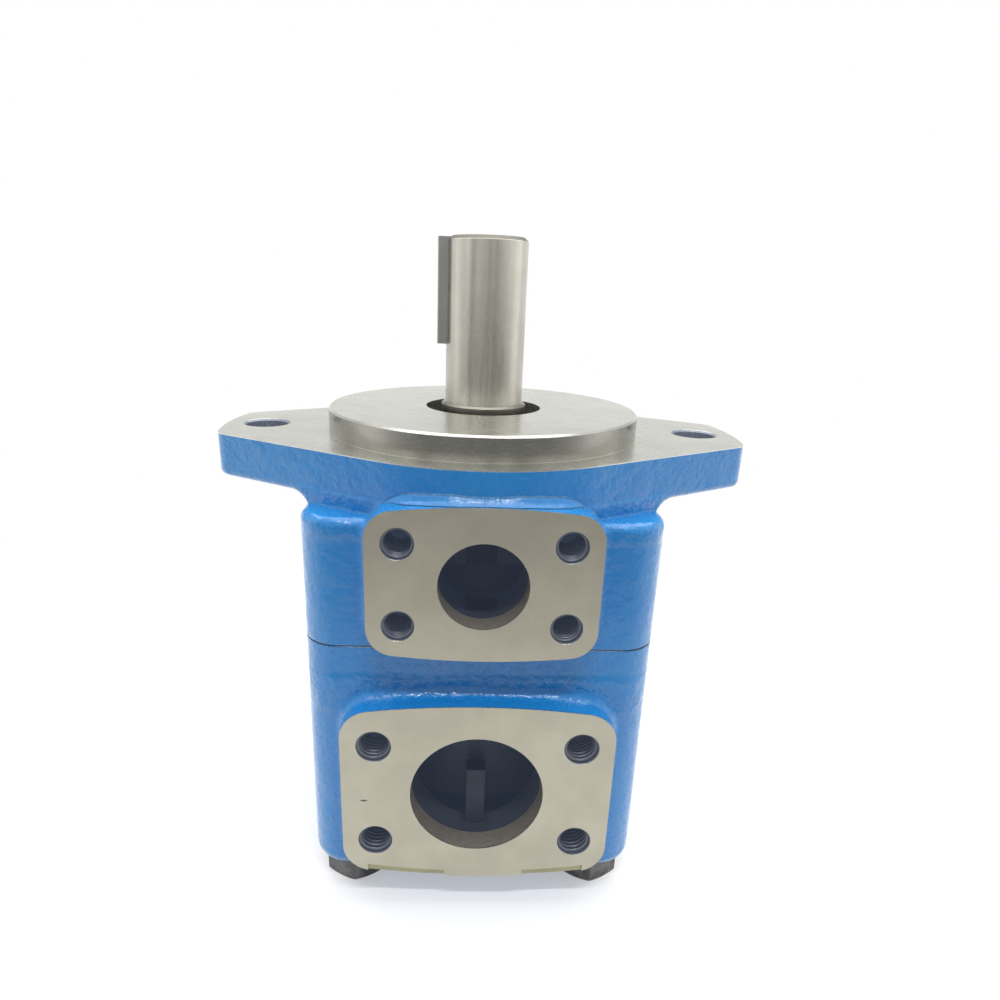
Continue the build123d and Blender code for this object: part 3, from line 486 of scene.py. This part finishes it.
housing_paint = casting_material(
    "housing_finish", outlet_y, outlet_z, outlet_r, bolt_centres("outlet_bolts"), 0.0060, True
)
cover_paint = casting_material(
    "cover_finish", inlet_y, inlet_z, inlet_r, bolt_centres("inlet_bolts"), 0.0068, False
)
dress("housing", housing_paint)
dress("cover", cover_paint)
dress("cover_bolts", black_oxide("bolt_black_oxide"))
dress("drive_shaft", shaft_material())
dress("drive_key", steel_material("key_drawn_steel", rgb(158, 157, 154), 0.45, 700.0, (1, 1, 0.1)))
dress("seal_case", steel_material("seal_case_sheet", rgb(110, 110, 112), 0.45))
dress("seal_lip", soft_material("seal_lip_rubber", (0.012, 0.012, 0.013, 1.0), 0.55))
dress("garter_spring", steel_material("garter_steel", rgb(130, 130, 132), 0.35, 2600.0))
bearing_steel = steel_material("bearing_ground_steel", rgb(205, 205, 208), 0.22, 800.0, (1, 1, 6))
for name in ("bearing_outer_ring", "bearing_inner_ring", "cartridge_dowels"):
    dress(name, bearing_steel)
dress("bearing_balls", steel_material("ball_polished_steel", rgb(225, 225, 228), 0.08, 300.0))
dress("bearing_cage", steel_material("cage_brass", rgb(205, 168, 92), 0.32, 500.0))
spring_steel = steel_material("ring_spring_steel", rgb(96, 94, 92), 0.40, 500.0)
for name in ("shaft_snap_ring", "bearing_retainer"):
    dress(name, spring_steel)
plate_iron = oily_iron("plate_oily_iron")
for name in ("outlet_support_plate", "inlet_support_plate"):
    dress(name, plate_iron)
bronze = rgb(196, 158, 104)
faced_plate = ring_material("side_plate_bronze_faced", bronze, CARTRIDGE_RIM_R)
for name in ("front_side_plate", "rear_side_plate"):
    dress(name, faced_plate)
dress("tail_bushing", steel_material("bushing_bronze", bronze, 0.34, 300.0, (5, 5, 1)))
dress("cam_ring", ring_material("cam_ring_honed", rgb(176, 176, 178), CARTRIDGE_RIM_R))
dress("rotor", steel_material("rotor_ground_steel", rgb(186, 186, 188), 0.30, 420.0, (4, 4, 1)))
vane_steel = steel_material("vane_lapped_steel", rgb(206, 206, 206), 0.24, 900.0, (3, 3, 1))
for index in range(10):
    dress(f"vane_{index + 1}", vane_steel)
dress("vane_inserts", vane_steel)
dress("cartridge_screws", black_oxide("screw_black_oxide"))
seal_rubber = soft_material("o_ring_rubber", (0.010, 0.010, 0.011, 1.0), 0.48)
for name in ("plate_o_ring", "hub_o_ring", "cover_o_ring"):
    dress(name, seal_rubber)

# ------------------------------------------------------------------ thread crests of the tapped holes
def add_piece(name, verts, faces, material, round_faces=None):
    """A mesh piece of the casing, from points and faces in metres; only its round faces shade smoothly."""
    mesh = bpy.data.meshes.new(name)
    mesh.from_pydata(verts, [], faces)
    mesh.validate()
    bm = bmesh.new()
    bm.from_mesh(mesh)
    bmesh.ops.recalc_face_normals(bm, faces=bm.faces)
    bm.to_mesh(mesh)
    bm.free()
    for face in mesh.polygons:
        face.use_smooth = round_faces is None or face.index in round_faces
    mesh.materials.append(material)
    piece = bpy.data.objects.new(name, mesh)
    scene.collection.objects.link(piece)
    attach(piece, "casing")
    return piece


def thread_crest(centre_x, face_y, centre_z, major_r, pitch, depth, mouth_r):
    """Points and faces of one helical ridge that stands inward from a hole's wall."""
    steps_per_turn = 36
    crest_height = 0.54 * pitch
    turns = (depth - 1.6 * pitch) / pitch
    steps = int(turns * steps_per_turn)
    root_half, crest_half = 0.46 * pitch, 0.07 * pitch
    verts = []
    for step in range(steps + 1):
        angle = 2 * math.pi * step / steps_per_turn
        along = 0.15 * pitch + pitch * step / steps_per_turn
        run_out = min(1.0, step / 10, (steps - step) / 10)
        mouth_limit = max(mouth_r - along, major_r - crest_height)
        crest_r = max(major_r - crest_height * run_out, min(mouth_limit, major_r))
        sunk_r = major_r + 0.03 * MM
        section = (
            (sunk_r, along - root_half * run_out),
            (crest_r, along - crest_half * run_out),
            (crest_r, along + crest_half * run_out),
            (sunk_r, along + root_half * run_out),
        )
        for radius, deep in section:
            verts.append(
                (
                    centre_x + radius * math.cos(angle),
                    face_y + max(deep, 0.05 * MM),
                    centre_z + radius * math.sin(angle),
                )
            )
    faces = []
    for step in range(steps):
        a = 4 * step
        for i in range(4):
            j = (i + 1) % 4
            faces.append((a + i, a + j, a + 4 + j, a + 4 + i))
    faces.append((0, 1, 2, 3))
    faces.append((4 * steps + 3, 4 * steps + 2, 4 * steps + 1, 4 * steps))
    return verts, faces


def thread_material():
    """Cut thread flanks: dull drilled metal with a faint painted bluish glow."""
    g = new_material("thread_cut_iron")
    return g.done(drilled(g, THREAD_GREY, 0.6, 1.0))


thread_finish = thread_material()
for port, face_y, major_mm, per_inch, depth_mm in (
    ("outlet", outlet_y, 11.1, 14, 22.0),
    ("inlet", inlet_y, 12.7, 13, 18.0),
):
    for index, (x, z) in enumerate(bolt_centres(port + "_bolts")):
        major = major_mm * MM / 2
        pitch = 25.4 * MM / per_inch
        points, sides = thread_crest(x, face_y, z, major, pitch, depth_mm * MM, major + 0.3 * MM)
        add_piece(f"{port}_thread_{index + 1}", points, sides, thread_finish)


# ------------------------------------------------------------------ cast root between flange and outlet boss
def boss_top(x):
    """Height of the outlet boss's top at a place across it: a flat crown, then a round corner."""
    crown_z, crown_end_x, crown_end_z = -0.01170, 0.03157, -0.01340
    corner, corner_x, corner_z = 0.010, 0.0305, -0.02334
    x = abs(x)
    if x <= crown_end_x:
        return crown_z + (crown_end_z - crown_z) * (x / crown_end_x) ** 2
    return corner_z + math.sqrt(corner**2 - (x - corner_x) ** 2)


def flange_front(x):
    """Distance of the flange's front from the shaft axis, along -Y: a round nose, then straight flanks."""
    radius, tangent_x, tangent_y = 0.0734, 0.0378, 0.06292
    flank_end_x, flank_end_y = 0.10077, 0.02508
    if abs(x) <= tangent_x:
        return math.sqrt(radius**2 - x**2)
    slope = (tangent_y - flank_end_y) / (flank_end_x - tangent_x)
    return tangent_y - slope * (abs(x) - tangent_x)


def cast_root():
    """A concave bead that fills the corner between the flange's front and the boss's top."""
    arc_steps = 8
    stations = 60
    reach = 0.0352
    bead_radius = 0.0036
    sunk = 0.0006
    run_out = 0.009
    verts = []
    faces = []
    round_faces = set()
    for station in range(stations + 1):
        x = reach * (2 * station / stations - 1)
        front, top = flange_front(x), boss_top(x)
        taper = min(1.0, (reach - abs(x)) / run_out + 0.03)
        radius = min(bead_radius, 0.82 * (-outlet_y - front)) * math.sin(taper * math.pi / 2)
        verts.append((x, -(front - sunk), top - sunk))
        for step in range(arc_steps + 1):
            turn = math.pi / 2 * step / arc_steps
            out = radius * (1 - math.sin(turn))
            rise = radius * (1 - math.cos(turn))
            verts.append((x, -(front + out), top + rise))
    row = arc_steps + 2
    for station in range(stations):
        a = station * row
        for i in range(row):
            j = (i + 1) % row
            if 1 <= i <= arc_steps:
                round_faces.add(len(faces))
            faces.append((a + i, a + j, a + row + j, a + row + i))
    faces.append(tuple(range(row)))
    faces.append(tuple(stations * row + i for i in reversed(range(row))))
    return verts, faces, round_faces


points, sides, round_sides = cast_root()
add_piece("flange_cast_root", points, sides, housing_paint, round_sides)

# ------------------------------------------------------------------ studio
FLOOR_FADE = (-0.08, -0.58)
ROOM_LEVEL = 0.82
ROOM_FILL = 0.26
SKY_LEVEL = 0.66
BACKDROP_LEVEL = 1.1

floor_mesh = bpy.data.meshes.new("studio_floor")
bm = bmesh.new()
bmesh.ops.create_circle(bm, cap_ends=True, segments=96, radius=4.0)
bm.to_mesh(floor_mesh)
bm.free()
floor = bpy.data.objects.new("studio_floor", floor_mesh)
floor.location = (0, 0, floor_z)
scene.collection.objects.link(floor)


def lit_floor(g, albedo, lift):
    """A matt floor with a little glow of its own."""
    matt = g.node("ShaderNodeBsdfDiffuse", Color=(albedo, albedo, albedo, 1.0)).outputs[0]
    glow = g.node("ShaderNodeEmission", Color=(1, 1, 1, 1), Strength=lift).outputs[0]
    both = g.node("ShaderNodeAddShader")
    g.feed(both.inputs[0], matt)
    g.feed(both.inputs[1], glow)
    return both.outputs[0]


def floor_material():
    """White to the eye and in reflections, darker as a light source on the camera's side."""
    g = new_material("studio_floor_white")
    path = g.node("ShaderNodeLightPath")
    in_view = path.outputs["Is Camera Ray"]
    white = g.node("ShaderNodeEmission", Color=(1, 1, 1, 1), Strength=1.0).outputs[0]
    far = g.both(g.ramp(g.distance(g.x, g.y, 0.0, 0.0), 0.22, 0.55), in_view)
    seen = g.either(in_view, path.outputs["Is Glossy Ray"], path.outputs["Is Transmission Ray"])
    bright_floor = lit_floor(g, 0.62, g.math("MULTIPLY", seen, 0.38))
    room_side = g.both(g.ramp(g.y, *FLOOR_FADE), g.inverse(in_view))
    dark_floor = lit_floor(g, 0.15, 0.06)
    return g.done(layered(g, bright_floor, (room_side, dark_floor), (far, white)))


def studio_world():
    """The room: bright at the sides and above, darker with upright bands on the camera's side."""
    g = Graph(bpy.data.worlds.new("studio_world"), "ShaderNodeOutputWorld", "Generated")
    level = g.distance(g.x, g.y, 0.0, 0.0)
    turned = g.node("ShaderNodeCombineXYZ", X=g.math("DIVIDE", g.x, level), Y=g.math("DIVIDE", g.y, level))
    banding = g.node(
        "ShaderNodeTexNoise", Vector=turned.outputs[0], Scale=5.0, Detail=3.0, Roughness=0.6
    )
    bands = g.ramp(banding.outputs[0], 0.36, 0.64, 0.45, 1.45)
    room = g.ramp(g.y, -0.20, -0.80)
    path = g.node("ShaderNodeLightPath")
    room_level = g.blend_value(path.outputs["Is Diffuse Ray"], ROOM_LEVEL, ROOM_FILL)
    dim = g.math("MULTIPLY", bands, room_level)
    glow = g.both(g.ramp(g.z, 0.24, 0.12), g.above(g.y, 0.0, 0.2))
    sky = g.blend_value(glow, SKY_LEVEL, BACKDROP_LEVEL)
    strength = g.blend_value(room, sky, dim)
    strength = g.blend_value(path.outputs["Is Camera Ray"], strength, 1.0)
    backdrop = g.node("ShaderNodeBackground", Color=(1, 1, 1, 1), Strength=strength)
    return g.done(backdrop.outputs[0])


floor_mesh.materials.append(floor_material())
scene.world = studio_world()


def softbox(name, place, target, size, power):
    """A rectangular area lamp that faces a point."""
    data = bpy.data.lights.new(name, "AREA")
    data.shape = "RECTANGLE"
    data.size, data.size_y = size
    data.energy = power
    lamp = bpy.data.objects.new(name, data)
    lamp.location = place
    lamp.rotation_euler = (Vector(target) - Vector(place)).to_track_quat("-Z", "Y").to_euler()
    scene.collection.objects.link(lamp)


centre = (0, 0, -0.07)
softbox("softbox_top", (0.0, 0.42, 1.20), centre, (1.9, 1.5), 22.0)
softbox("ceiling_strip", (0.05, -0.72, 1.25), centre, (0.70, 0.035), 10.0)
softbox("softbox_left", (-1.3, -0.35, 0.45), centre, (1.5, 1.3), 2.6)
softbox("softbox_right", (1.3, -0.20, 0.45), centre, (1.5, 1.3), 3.0)

# ------------------------------------------------------------------ camera, at the eye of the picture
eye = Vector((-8.157, -296.640, 56.337)) * MM
pitch, yaw, roll = 0.333, -0.033, 0.033
sensor_mm = 36.0
focal_mm = 25.3692
turn = Matrix.Rotation(yaw, 3, "Z") @ Matrix.Rotation(-pitch, 3, "X")
look = turn @ Vector((0, 1, 0))
up = turn @ Vector((0, 0, 1))
right = look.cross(up)
rolled_right = math.cos(roll) * right + math.sin(roll) * up
rolled_up = -math.sin(roll) * right + math.cos(roll) * up
camera_data = bpy.data.cameras.new("camera")
camera_data.sensor_width = sensor_mm
camera_data.lens = focal_mm
camera_data.shift_x = 0.01702
camera_data.shift_y = 0.03153
camera_data.clip_start = 0.01
camera = bpy.data.objects.new("camera", camera_data)
camera.matrix_world = Matrix.Translation(eye) @ Matrix(
    (
        (rolled_right.x, rolled_up.x, -look.x),
        (rolled_right.y, rolled_up.y, -look.y),
        (rolled_right.z, rolled_up.z, -look.z),
    )
).to_4x4()
scene.collection.objects.link(camera)
scene.camera = camera
scene.view_settings.view_transform = "Standard"
